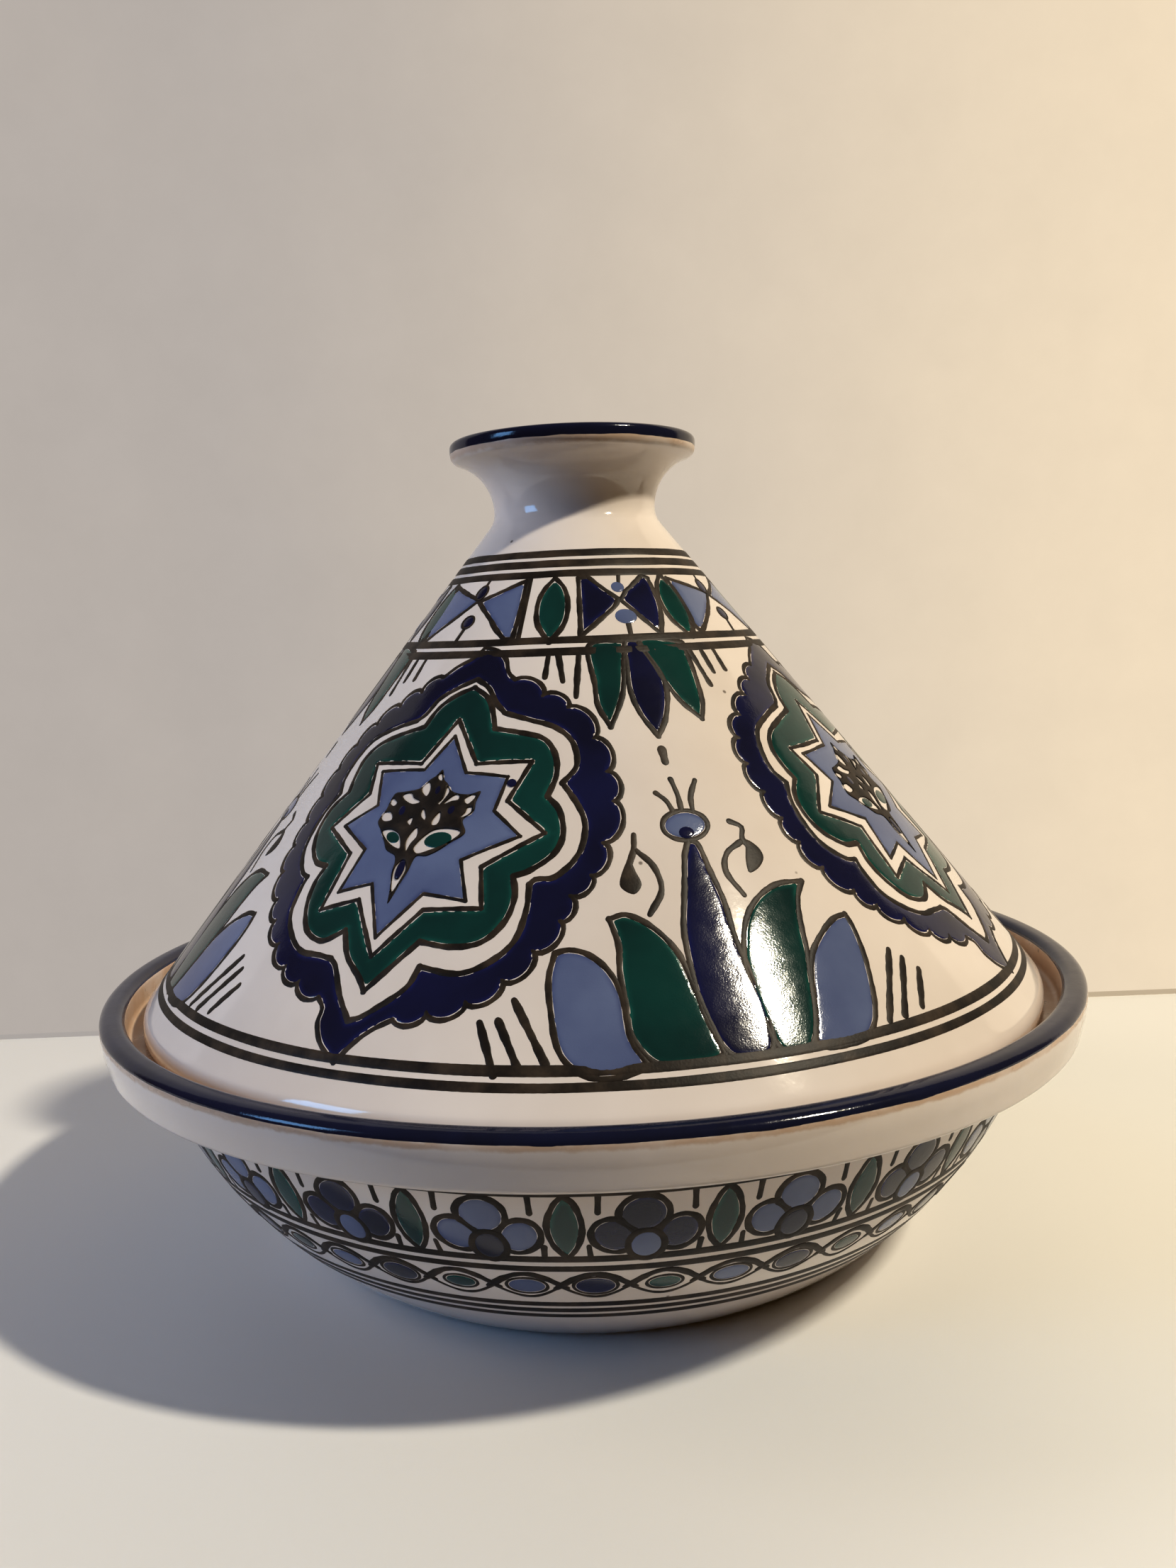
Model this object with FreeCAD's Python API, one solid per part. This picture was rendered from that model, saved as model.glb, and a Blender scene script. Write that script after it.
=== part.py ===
import FreeCAD, Part
import math
import os

# A thrown and glazed tagine: a footed dish and the tall conical lid that stands in its collar.
# Millimetres, +Z up, the origin on the foot's plane at the axis that both pieces are turned about.

# Driving dimensions, overall
rim_radius = 150.0        # outside of the dish's collar at its widest
overall_height = 241.8    # foot plane to the top of the knob's lip

# The dish
dish_height = 80.0        # foot plane to the top of the rim
collar_height = 14.2      # rim top down to the collar's lower edge
collar_upright = 5.5      # height of the collar's upper part, which is upright
collar_taper = 1.9        # how much smaller the collar is at its lower edge
collar_wall = 7.3         # thickness of the collar beside the lid
collar_overhang = 12.6    # step from the collar's lower edge in to the bowl's wall
collar_slope = 1.2        # how much the underside of the collar falls towards the bowl
gallery_depth = 9.0       # rim top down to the ledge that the lid stands on
foot_radius = 88.0        # outside of the foot
foot_width = 13.0         # width of the ring that the dish stands on
foot_recess = 2.5         # depth of the turned hollow under the dish
bowl_bulge = 6.7          # how far the bowl's wall swells beyond a straight line from foot to collar
bowl_wall = 8.0
bowl_floor = 9.0          # thickness at the middle of the dish, above the recess

# The lid
lid_clearance = 4.7       # gap all round between the lid's edge and the collar
lid_edge_height = 5.9     # upright edge of the lid, from its base to where the cone begins
lid_edge_width = 8.0      # thickness of the ring that the lid stands on
cone_wall = 7.5
neck_radius = 25.0        # narrowest place, under the knob
neck_hollow = 7.5         # radius of the hollow curve that leads from the cone into the neck
knob_radius = 38.0        # outside of the knob's lip
knob_height = 21.3        # narrowest place of the neck up to the lip
flare_hollow = 15.8       # radius of the hollow curve that opens from the neck into the knob
knob_wall = 6.5
knob_cup_below = 6.5      # depth of the knob's cup below the narrowest place
knob_floor = 8.0          # clay between the knob's cup and the space under the cone

# Roundings of the edges
rim_round = 3.0
collar_round = 1.6
gallery_round = 2.0
foot_round = 1.4
recess_round = 1.2
bowl_round = 9.0
lid_edge_round = 2.4
lid_inside_round = 2.0
lip_round = 1.7
flare_round = 2.4
cup_round = 4.0
vault_round = 11.0
inside_round_share = 0.6  # the lid's inside roundings are at most this share of the upright between them


def point(radius, height):
    return FreeCAD.Vector(radius, 0, height)


def line(start, end):
    return Part.LineSegment(start, end).toShape()


def arc_about(centre, start, end):
    """The short arc from start to end whose middle is centre."""
    radius = (start - centre).Length
    middle = (start - centre) + (end - centre)
    middle.normalize()
    return Part.Arc(start, centre + middle * radius, end).toShape()


def turned(edges):
    """The solid that an outline sweeps when it is turned about the Z axis."""
    face = Part.Face(Part.Wire(edges))
    return face.revolve(FreeCAD.Vector(0, 0, 0), FreeCAD.Vector(0, 0, 1), 360)


def rounded(solid, corners):
    """The solid with its edges rounded: corners are pairs of a point of the outline and a radius."""
    for corner, radius in corners:
        edges = []
        for edge in solid.Edges:
            is_ring = isinstance(edge.Curve, Part.Circle) and edge.isClosed()
            if is_ring and abs(edge.Curve.Radius - corner.x) < 1e-4 and abs(edge.Curve.Center.z - corner.z) < 1e-4:
                edges.append(edge)
        solid = solid.makeFillet(radius, edges)
    return solid


def height_on_arc(centre, radius, height):
    """The point of an arc about centre that is at this height, on the side away from the axis."""
    return point(centre.x + math.sqrt(radius ** 2 - (height - centre.z) ** 2), height)


def bowl_centre(start, end):
    """The middle and radius of the arc from start to end that swells outwards by bowl_bulge."""
    chord = end - start
    radius = (chord.Length ** 2 / 4 + bowl_bulge ** 2) / (2 * bowl_bulge)
    inwards = point(-chord.z, chord.x)
    inwards.normalize()
    return (start + end) * 0.5 + inwards * (radius - bowl_bulge), radius


def make_dish():
    collar_low = point(rim_radius - collar_taper, dish_height - collar_height)
    bowl_top = point(collar_low.x - collar_overhang, collar_low.z - collar_slope)
    foot_out = point(foot_radius, 0)
    centre, radius = bowl_centre(foot_out, bowl_top)
    inner_radius = radius - bowl_wall

    collar_high = point(rim_radius, dish_height - collar_upright)
    rim_out = point(rim_radius, dish_height)
    rim_in = point(rim_radius - collar_wall, dish_height)
    gallery = point(rim_in.x, seat_height)
    ledge = height_on_arc(centre, inner_radius, seat_height)
    floor = height_on_arc(centre, inner_radius, foot_recess + bowl_floor)
    floor_middle = point(0, floor.z)
    recess_middle = point(0, foot_recess)
    recess_edge = point(foot_radius - foot_width, foot_recess)
    foot_in = point(recess_edge.x, 0)

    dish = turned([
        line(recess_middle, recess_edge),
        line(recess_edge, foot_in),
        line(foot_in, foot_out),
        arc_about(centre, foot_out, bowl_top),
        line(bowl_top, collar_low),
        line(collar_low, collar_high),
        line(collar_high, rim_out),
        line(rim_out, rim_in),
        line(rim_in, gallery),
        line(gallery, ledge),
        arc_about(centre, ledge, floor),
        line(floor, floor_middle),
        line(floor_middle, recess_middle),
    ])
    return rounded(dish, [
        (foot_out, foot_round),
        (foot_in, recess_round),
        (bowl_top, collar_round),
        (collar_low, collar_round),
        (rim_out, rim_round),
        (rim_in, rim_round),
        (gallery, gallery_round),
        (ledge, gallery_round),
        (floor, bowl_round),
    ])


def cone_tangent(cone_low, neck_centre):
    """The point where a straight line up from cone_low runs into the neck's hollow curve."""
    across = neck_centre - cone_low
    lean = math.atan2(-across.x, across.z) + math.asin(neck_hollow / across.Length)
    run = math.sqrt(across.Length ** 2 - neck_hollow ** 2)
    return cone_low + point(-math.sin(lean), math.cos(lean)) * run, lean


def make_lid():
    edge_radius = rim_radius - collar_wall - lid_clearance
    neck_height = overall_height - knob_height
    neck = point(neck_radius, neck_height)
    neck_centre = point(neck_radius + neck_hollow, neck_height)
    flare_centre = point(neck_radius + flare_hollow, neck_height)
    inner_flare = flare_hollow + knob_wall

    base_out = point(edge_radius, seat_height)
    cone_low = point(edge_radius, seat_height + lid_edge_height)
    cone_high, lean = cone_tangent(cone_low, neck_centre)
    knob_rise = math.sqrt(flare_hollow ** 2 - (knob_radius - flare_centre.x) ** 2)
    knob_low = point(knob_radius, neck_height + knob_rise)
    lip_out = point(knob_radius, overall_height)
    lip_in = point(flare_centre.x - math.sqrt(inner_flare ** 2 - knob_height ** 2), overall_height)
    cup_neck = point(neck_radius - knob_wall, neck_height)
    cup_edge = point(cup_neck.x, neck_height - knob_cup_below)
    cup_middle = point(0, cup_edge.z)

    # The space under the cone keeps cone_wall of clay, measured square to the cone.
    inner_shift = cone_wall / math.cos(lean)
    vault_height = cup_edge.z - knob_floor
    vault_edge = point(cone_low.x - inner_shift - (vault_height - cone_low.z) * math.tan(lean), vault_height)
    vault_middle = point(0, vault_height)
    base_in = point(edge_radius - lid_edge_width, seat_height)
    inside_low = point(base_in.x, cone_low.z + (cone_low.x - inner_shift - base_in.x) / math.tan(lean))
    inside_round = min(lid_inside_round, inside_round_share * (inside_low.z - base_in.z))

    lid = turned([
        line(base_in, base_out),
        line(base_out, cone_low),
        line(cone_low, cone_high),
        arc_about(neck_centre, cone_high, neck),
        arc_about(flare_centre, neck, knob_low),
        line(knob_low, lip_out),
        line(lip_out, lip_in),
        arc_about(flare_centre, lip_in, cup_neck),
        line(cup_neck, cup_edge),
        line(cup_edge, cup_middle),
        line(cup_middle, vault_middle),
        line(vault_middle, vault_edge),
        line(vault_edge, inside_low),
        line(inside_low, base_in),
    ])
    return rounded(lid, [
        (base_out, lid_edge_round),
        (cone_low, lid_edge_round),
        (base_in, inside_round),
        (inside_low, inside_round),
        (knob_low, flare_round),
        (lip_out, lip_round),
        (lip_in, lip_round),
        (cup_edge, cup_round),
        (vault_edge, vault_round),
    ])


seat_height = dish_height - gallery_depth    # the ledge in the collar, where the lid stands

os.makedirs("parts", exist_ok=True)
for name, solid in (("dish", make_dish()), ("lid", make_lid())):
    box = solid.BoundBox
    print(name, "valid", solid.isValid(), "volume cm3", round(solid.Volume / 1000, 1),
          "radius", round(box.XMax, 2), "heights", round(box.ZMin, 2), round(box.ZMax, 2))
    solid.exportStep("parts/" + name + ".step")
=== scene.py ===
import math
import random

import bmesh
import bpy
import numpy as np
from mathutils import Matrix, Vector, geometry


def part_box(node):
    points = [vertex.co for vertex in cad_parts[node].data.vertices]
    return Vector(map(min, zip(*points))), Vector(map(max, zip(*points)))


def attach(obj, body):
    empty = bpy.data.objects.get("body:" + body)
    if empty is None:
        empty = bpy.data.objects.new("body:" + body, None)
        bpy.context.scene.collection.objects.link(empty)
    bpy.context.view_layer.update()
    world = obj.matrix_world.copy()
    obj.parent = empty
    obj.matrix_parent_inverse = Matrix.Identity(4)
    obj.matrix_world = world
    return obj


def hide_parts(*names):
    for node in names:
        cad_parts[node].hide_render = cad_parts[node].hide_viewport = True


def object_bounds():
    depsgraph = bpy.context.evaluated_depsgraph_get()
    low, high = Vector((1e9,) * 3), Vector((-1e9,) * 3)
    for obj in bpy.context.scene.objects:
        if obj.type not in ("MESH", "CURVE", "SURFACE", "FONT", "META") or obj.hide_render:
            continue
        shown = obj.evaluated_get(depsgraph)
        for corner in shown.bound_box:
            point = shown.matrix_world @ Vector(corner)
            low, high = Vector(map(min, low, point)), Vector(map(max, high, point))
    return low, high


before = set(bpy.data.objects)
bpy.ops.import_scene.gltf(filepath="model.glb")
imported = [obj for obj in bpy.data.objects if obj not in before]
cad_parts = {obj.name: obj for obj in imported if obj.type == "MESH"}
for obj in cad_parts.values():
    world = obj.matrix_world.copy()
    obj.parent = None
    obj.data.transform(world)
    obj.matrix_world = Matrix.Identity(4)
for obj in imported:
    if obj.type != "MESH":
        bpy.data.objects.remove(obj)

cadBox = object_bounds()
mm = 0.001
handRandom = random.Random(7)    # the painter's unsteady hand


def asMesh(name, verts, faces, scale=mm):
    mesh = bpy.data.meshes.new(name)
    mesh.from_pydata([Vector(v) * scale for v in verts], [], faces)
    mesh.update()
    return mesh


def link(name, data):
    obj = bpy.data.objects.new(name, data)
    bpy.context.scene.collection.objects.link(obj)
    return obj


def dropObject(obj):
    data = obj.data
    bpy.data.objects.remove(obj)
    if isinstance(data, bpy.types.Mesh) and data.users == 0:
        bpy.data.meshes.remove(data)


# the camera stands close, a little above the middle of the cone
shot = {
    "distance": 0.4013,
    "height": 0.1827,
    "yaw": math.radians(0.13),
    "pitch": math.radians(-6.78),
    "roll": math.radians(-2.2),
    "lens": 29.1,
    "nearest": 0.01,
}


def makeCamera():
    data = bpy.data.cameras.new("camera")
    data.lens = shot["lens"]
    data.clip_start = shot["nearest"]
    cam = link("camera", data)
    yaw, pitch, roll = shot["yaw"], shot["pitch"], shot["roll"]
    forward = Vector((math.sin(yaw) * math.cos(pitch), math.cos(yaw) * math.cos(pitch), math.sin(pitch)))
    right = Vector((math.cos(yaw), -math.sin(yaw), 0))
    up = right.cross(forward)
    across = right * math.cos(roll) + up * math.sin(roll)
    upright = up * math.cos(roll) - right * math.sin(roll)
    turned = Matrix((across, upright, -forward)).transposed().to_4x4()
    cam.matrix_world = Matrix.Translation((0, -shot["distance"], shot["height"])) @ turned
    bpy.context.scene.camera = cam


class Nodes:
    # what the materials and the geometry trees share

    def __init__(self, tree):
        self.tree = tree

    def add(self, kind, inputs=None, **settings):
        node = self.tree.nodes.new(kind)
        for key, value in settings.items():
            setattr(node, key, value)
        for key, value in (inputs or {}).items():
            self.put(value, node.inputs[key])
        return node

    def put(self, value, socket):
        if isinstance(value, bpy.types.NodeSocket):
            self.tree.links.new(value, socket)
        else:
            socket.default_value = value

    def calc(self, operation, a, b=0.0, c=0.0):
        return self.add("ShaderNodeMath", {0: a, 1: b, 2: c}, operation=operation).outputs[0]

    def parts(self, value):
        return self.add("ShaderNodeSeparateXYZ", {0: value}).outputs


class Shader(Nodes):
    def __init__(self, name):
        self.material = bpy.data.materials.new(name)
        self.material.use_nodes = True
        super().__init__(self.material.node_tree)
        self.place = self.add("ShaderNodeTexCoord").outputs["Object"]

    def noise(self, scale, detail=3.0, rough=0.5):
        return self.add("ShaderNodeTexNoise", {"Vector": self.place, "Scale": scale, "Detail": detail,
                                               "Roughness": rough}).outputs["Fac"]

    def ramp(self, value, low, high):
        return self.add("ShaderNodeMapRange", {"Value": value, "From Min": low, "From Max": high},
                        interpolation_type="SMOOTHSTEP").outputs["Result"]

    def mix(self, amount, a, b):
        node = self.add("ShaderNodeMix", {"Factor": amount, "A": a, "B": b}, data_type="RGBA")
        return node.outputs["Result"]

    def bump(self, height, strength, distance, under=None):
        inputs = {"Strength": strength, "Distance": distance, "Height": height}
        if under is not None:
            inputs["Normal"] = under
        return self.add("ShaderNodeBump", inputs).outputs["Normal"]

    def finish(self, values):
        body = self.tree.nodes["Principled BSDF"]
        for label, value in values.items():
            self.put(value, body.inputs[label])
        return self.material


def colour(r, g, b):
    return (r, g, b, 1.0)


glaze = {
    "white": colour(0.76, 0.70, 0.67),
    "cream": colour(0.70, 0.635, 0.60),
    "clay": colour(0.49, 0.335, 0.225),
    "speck": colour(0.10, 0.07, 0.05),
    "roughness": 0.07,
    "bareRoughness": 0.3,      # what bare clay adds
    "bareEdge": 0.5 * mm,      # how softly the glaze ends
    "ragged": 1.6 * mm,        # how far its edge strays
    "speckSize": (0.055, 0.025),
}


def makeGlaze(name, bareRings):
    # bareRings: where the glaze thins to the clay, as (low radius, high radius, low z, high z, how bare)
    s = Shader(name)
    base = s.mix(s.ramp(s.noise(14, 4, 0.6), 0.3, 0.7), glaze["white"], glaze["cream"])
    x, y, z = s.parts(s.place)
    radius = s.calc("SQRT", s.calc("MULTIPLY_ADD", x, x, s.calc("MULTIPLY", y, y)))
    ragged = s.calc("MULTIPLY_ADD", s.noise(220, 4, 0.65), glaze["ragged"], -glaze["ragged"] / 2)
    radius = s.calc("ADD", radius, ragged)
    z = s.calc("ADD", z, ragged)
    soft = glaze["bareEdge"]
    bare = 0.0
    for lowRadius, highRadius, lowZ, highZ, amount in bareRings:
        ring = amount
        for value, low, high in ((radius, lowRadius * mm, highRadius * mm), (z, lowZ * mm, highZ * mm)):
            ring = s.calc("MULTIPLY", ring, s.ramp(value, low - soft, low + soft))
            ring = s.calc("MULTIPLY", ring, s.ramp(value, high + soft, high - soft))
        bare = s.calc("MAXIMUM", bare, ring)
    patchy = s.ramp(s.noise(60, 4, 0.6), 0.22, 0.62)
    bare = s.calc("MULTIPLY", bare, s.calc("MULTIPLY_ADD", patchy, 0.6, 0.4))
    base = s.mix(bare, base, glaze["clay"])
    # pinholes and iron specks
    cells = s.add("ShaderNodeTexVoronoi", {"Scale": 75, "Vector": s.place})
    dots = s.ramp(cells.outputs["Distance"], *glaze["speckSize"])
    few = s.ramp(s.noise(24, 1), 0.56, 0.60)
    base = s.mix(s.calc("MULTIPLY", s.calc("MULTIPLY", dots, few), 0.75), base, glaze["speck"])
    ripple = s.bump(s.noise(90, 2), 0.10, 0.0006)
    return s.finish({
        "Base Color": base,
        "Roughness": s.calc("MULTIPLY_ADD", bare, glaze["bareRoughness"], glaze["roughness"]),
        "Normal": s.bump(s.noise(700, 2), 0.06, 0.0002, ripple),
    })


thinEnamel = (0.085 * mm, 0.035 * mm)    # from full colour down to the thinnest


def makeEnamel(name, deep, light, thin):
    # deep and light: the brush's tone as it varies; thin: where the enamel runs out towards its edge
    s = Shader(name)
    base = s.mix(s.ramp(s.noise(30, 4, 0.5), 0.24, 0.80), colour(*deep), colour(*light))
    thickness = s.add("ShaderNodeAttribute", attribute_name="thickness").outputs["Fac"]
    patchy = s.ramp(s.noise(110, 3, 0.6), 0.3, 0.7)
    edge = s.calc("MULTIPLY", s.calc("MULTIPLY", s.ramp(thickness, *thinEnamel), patchy), 0.8)
    skin = s.bump(s.noise(160, 2), 0.15, 0.0005)
    return s.finish({
        "Base Color": s.mix(edge, base, colour(*thin)),
        "Roughness": s.calc("MULTIPLY_ADD", s.noise(300, 3), 0.08, 0.07),
        "Normal": s.bump(s.noise(2200, 2), 0.14, 0.00015, skin),
    })


def makeOutlineColour():
    s = Shader("outlineColour")
    cloud = s.ramp(s.noise(110, 4, 0.6), 0.36, 0.72)
    return s.finish({
        "Base Color": s.mix(cloud, colour(0.016, 0.012, 0.010), colour(0.060, 0.043, 0.031)),
        "Roughness": 0.46,
        "Specular IOR Level": 0.22,
        "Normal": s.bump(s.noise(1500, 2), 0.2, 0.0002),
    })


class Tree(Nodes):
    def __init__(self, name, **wanted):
        super().__init__(bpy.data.node_groups.new(name, "GeometryNodeTree"))
        face = self.tree.interface
        for kind, labels in (("Geometry", ["Geometry"]), *wanted.items()):
            for label in labels:
                face.new_socket(label, in_out="INPUT", socket_type="NodeSocket" + kind)
        face.new_socket("Geometry", in_out="OUTPUT", socket_type="NodeSocketGeometry")
        self.source = self.add("NodeGroupInput").outputs

    def after(self, kind, geometryIn, inputs=None, **settings):
        # a step that works on the geometry of the one before it
        return self.add(kind, {"Geometry": geometryIn, **(inputs or {})}, **settings).outputs[0]

    def position(self):
        return self.add("GeometryNodeInputPosition").outputs[0]

    def vector(self, x, y, z):
        return self.add("ShaderNodeCombineXYZ", {0: x, 1: y, 2: z}).outputs[0]

    def noise(self, place, scale):
        return self.add("ShaderNodeTexNoise", {"Vector": place, "Scale": scale, "Detail": 2.0}).outputs["Fac"]

    def around(self, angle, radius, height):
        # angle 0 faces the front, and grows towards the right
        x = self.calc("MULTIPLY", radius, self.calc("SINE", angle))
        y = self.calc("MULTIPLY", radius, self.calc("MULTIPLY", self.calc("COSINE", angle), -1.0))
        return self.vector(x, y, height)

    def unevenAt(self, place):
        # the thrown wall is never quite true: it lies up to this far inside its outline
        inwards = self.calc("MULTIPLY", self.source["Uneven"], -1.0)
        return self.calc("MULTIPLY", self.noise(place, 14.0), inwards)

    def sheet(self):
        # a grid to be wrapped round the pot, with each point's angle and its share of the way up
        grid = self.add("GeometryNodeMeshGrid", {
            "Size X": 1.0, "Size Y": 1.0, "Vertices Y": self.source["Rows"],
            "Vertices X": self.calc("ADD", self.source["Around"], 1.0)})
        u, v, flat = self.parts(self.position())
        angle = self.calc("MULTIPLY", self.calc("ADD", u, 0.5), math.tau)
        return grid.outputs["Mesh"], angle, self.calc("ADD", v, 0.5)

    def closed(self, geometryIn):
        # the first and last columns of the sheet become one
        return self.after("GeometryNodeMergeByDistance", geometryIn, {"Distance": 0.000004})

    def onWall(self, angle, length, lift, path):
        # a point at this length along the wall's outline, standing proud of it by lift
        sample = self.add("GeometryNodeSampleCurve", {"Curves": path, "Length": length}, mode="LENGTH")
        radius, unused, height = self.parts(sample.outputs["Position"])
        alongRadius, unused, alongHeight = self.parts(sample.outputs["Tangent"])
        outHeight = self.calc("MULTIPLY", alongRadius, -1.0)
        rise = self.calc("ADD", lift, self.unevenAt(self.around(angle, radius, height)))
        return self.around(angle, self.calc("MULTIPLY_ADD", alongHeight, rise, radius),
                           self.calc("MULTIPLY_ADD", outHeight, rise, height))

    def finish(self, geometryIn):
        smooth = self.after("GeometryNodeSetShadeSmooth", geometryIn)
        real = self.after("GeometryNodeRealizeInstances", smooth)
        painted = self.after("GeometryNodeSetMaterial", real, {"Material": self.source["Material"]})
        self.add("NodeGroupOutput", {"Geometry": painted})
        return self.tree


def runTree(tree, obj, name, values):
    modifier = obj.modifiers.new("build", "NODES")
    modifier.node_group = tree
    sockets = {s.name: s.identifier for s in tree.interface.items_tree if s.in_out == "INPUT"}
    for label, value in values.items():
        modifier[sockets[label]] = value
    bpy.context.view_layer.update()
    made = bpy.data.meshes.new_from_object(obj.evaluated_get(bpy.context.evaluated_depsgraph_get()))
    made.name = name
    obj.modifiers.remove(modifier)
    return made


def turnedTree():
    # an outline turned about the axis: the pots themselves
    t = Tree("turnedPot", Int=["Around", "Rows"], Float=["Uneven"], Material=["Material"])
    grid, angle, share = t.sheet()
    row = t.calc("ROUND", t.calc("MULTIPLY", share, t.calc("SUBTRACT", t.source["Rows"], 1.0)))
    pick = t.after("GeometryNodeSampleIndex", t.source["Geometry"], {"Value": t.position(), "Index": row},
                   data_type="FLOAT_VECTOR", domain="POINT")
    radius, unused, height = t.parts(pick)
    wrapped = t.after("GeometryNodeSetPosition", grid, {"Position": t.around(angle, radius, height)})
    push = t.add("ShaderNodeVectorMath", {0: t.add("GeometryNodeInputNormal").outputs[0],
                                          "Scale": t.unevenAt(t.position())}, operation="SCALE")
    return t.finish(t.after("GeometryNodeSetPosition", t.closed(wrapped), {"Offset": push.outputs[0]}))


def bandTree():
    # a painted line or band that runs right round the pot, between two lengths along its wall
    t = Tree("paintedBand", Int=["Around", "Rows"], Material=["Material"],
             Float=["From", "To", "From Wander", "To Wander", "Ripple", "Lift", "Seed", "Uneven"])
    grid, angle, share = t.sheet()

    def edge(side, shift):
        seed = t.calc("ADD", t.source["Seed"], shift)
        loop = t.vector(t.calc("SINE", angle), t.calc("COSINE", angle), seed)
        drift = t.calc("SUBTRACT", t.noise(loop, t.source["Ripple"]), 0.5)
        return t.calc("MULTIPLY_ADD", drift, t.source[side + " Wander"], t.source[side])

    low, high = edge("From", 0.0), edge("To", 3.7)
    length = t.calc("MULTIPLY_ADD", t.calc("SUBTRACT", high, low), share, low)
    middle = t.calc("ABSOLUTE", t.calc("MULTIPLY_ADD", share, 2.0, -1.0))
    dome = t.calc("SUBTRACT", 1.0, t.calc("MULTIPLY", t.calc("POWER", middle, 8.0), 1.35))
    spot = t.onWall(angle, length, t.calc("MULTIPLY", dome, t.source["Lift"]), t.source["Geometry"])
    return t.finish(t.closed(t.after("GeometryNodeSetPosition", grid, {"Position": spot})))


def rollTree():
    # a flat painted pattern, repeated round the pot and rolled onto its wall
    t = Tree("rolledPattern", Object=["Wall"], Int=["Copies"], Bool=["Developed"], Material=["Material"],
             Float=["Step", "First Angle", "Along", "Roll Radius", "To Apex", "Slope Share", "Drift", "Seed",
                    "Uneven"])
    src = t.source
    row = t.add("GeometryNodePoints", {"Count": src["Copies"]}).outputs[0]
    copies = t.add("GeometryNodeInstanceOnPoints", {"Points": row, "Instance": src["Geometry"]}).outputs[0]
    numbered = t.after("GeometryNodeStoreNamedAttribute", copies,
                       {"Name": "copy", "Value": t.add("GeometryNodeInputIndex").outputs[0]},
                       data_type="FLOAT", domain="INSTANCE")
    real = t.after("GeometryNodeRealizeInstances", numbered)
    which = t.add("GeometryNodeInputNamedAttribute", {"Name": "copy"}, data_type="FLOAT")
    copyNumber = which.outputs["Attribute"]
    x, y, lift = t.parts(t.position())
    thick = t.after("GeometryNodeStoreNamedAttribute", real, {"Name": "thickness", "Value": lift},
                    data_type="FLOAT", domain="POINT")

    def drift(shift):
        # each copy is painted by hand, so it strays a little from the first
        seed = t.calc("MULTIPLY_ADD", copyNumber, 7.3, t.calc("ADD", src["Seed"], shift))
        wave = t.noise(t.vector(x, y, t.calc("MULTIPLY", seed, 0.02)), 45.0)
        away = t.calc("MULTIPLY", src["Drift"], t.calc("MINIMUM", copyNumber, 1.0))
        return t.calc("MULTIPLY", t.calc("MULTIPLY_ADD", wave, 2.0, -1.0), away)

    def either(flat, developed):
        return t.add("GeometryNodeSwitch", {"Switch": src["Developed"], "False": flat, "True": developed},
                     input_type="FLOAT").outputs[0]

    x = t.calc("ADD", x, drift(0.0))
    y = t.calc("ADD", y, drift(5.0))
    toApex = t.calc("SUBTRACT", src["To Apex"], y)
    fan = t.calc("DIVIDE", t.calc("ARCTAN2", x, toApex), src["Slope Share"])
    reach = t.calc("SQRT", t.calc("MULTIPLY_ADD", x, x, t.calc("MULTIPLY", toApex, toApex)))
    swing = either(t.calc("DIVIDE", x, src["Roll Radius"]), fan)
    climb = either(y, t.calc("SUBTRACT", src["To Apex"], reach))
    firstAngle = t.calc("ADD", swing, src["First Angle"])
    angle = t.calc("ADD", firstAngle, t.calc("MULTIPLY", copyNumber, src["Step"]))
    wall = t.add("GeometryNodeObjectInfo", {"Object": src["Wall"]}).outputs["Geometry"]
    spot = t.onWall(angle, t.calc("ADD", src["Along"], climb), lift, wall)
    return t.finish(t.after("GeometryNodeSetPosition", thick, {"Position": spot}))


# outlines from here on are runs of (radius, height), in millimetres

def lineRun(start, end, step=2.6):
    count = max(1, round(math.dist(start, end) / step))
    return [(start[0] + (end[0] - start[0]) * i / count, start[1] + (end[1] - start[1]) * i / count)
            for i in range(count + 1)]


def arcRun(centre, start, end, step=2.6):
    radius = math.dist(centre, start)
    a = math.atan2(start[1] - centre[1], start[0] - centre[0])
    b = math.atan2(end[1] - centre[1], end[0] - centre[0])
    b = a + math.remainder(b - a, math.tau)
    count = max(2, round(radius * abs(b - a) / step))
    return [(centre[0] + radius * math.cos(a + (b - a) * i / count),
             centre[1] + radius * math.sin(a + (b - a) * i / count)) for i in range(count + 1)]


def chainOf(spots, steps):
    # straight runs from spot to spot
    return [lineRun(a, b, step) for a, b, step in zip(spots, spots[1:], steps)]


def cutBack(run, amount):
    # the run without its last amount of length
    run = list(run)
    while amount > 0 and len(run) > 1:
        leg = math.dist(run[-1], run[-2])
        if leg > amount + 1e-6:
            t = amount / leg
            run[-1] = (run[-1][0] + (run[-2][0] - run[-1][0]) * t, run[-1][1] + (run[-2][1] - run[-1][1]) * t)
            return run
        run.pop()
        amount -= leg
    return run


def joinRuns(runs, rounds):
    # runs end to end, with the corner after each one softened over that length
    outline = list(runs[0])
    for run, soft in zip(runs[1:], rounds):
        corner = run[0]
        if soft:
            outline = cutBack(outline, soft)
            run = cutBack(run[::-1], soft)[::-1]
            ends = [Vector((*p, 0)) for p in (outline[-1], corner, run[0])]
            handles = [end.lerp(ends[1], 0.56) for end in (ends[0], ends[2])]
            curve = geometry.interpolate_bezier(ends[0], *handles, ends[2], 8)
            outline += [(p.x, p.y) for p in curve[1:-1]]
        else:
            outline = outline[:-1]
        outline += run
    return outline


enamelLift = 0.22     # how proud the painted bands and lines stand

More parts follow.
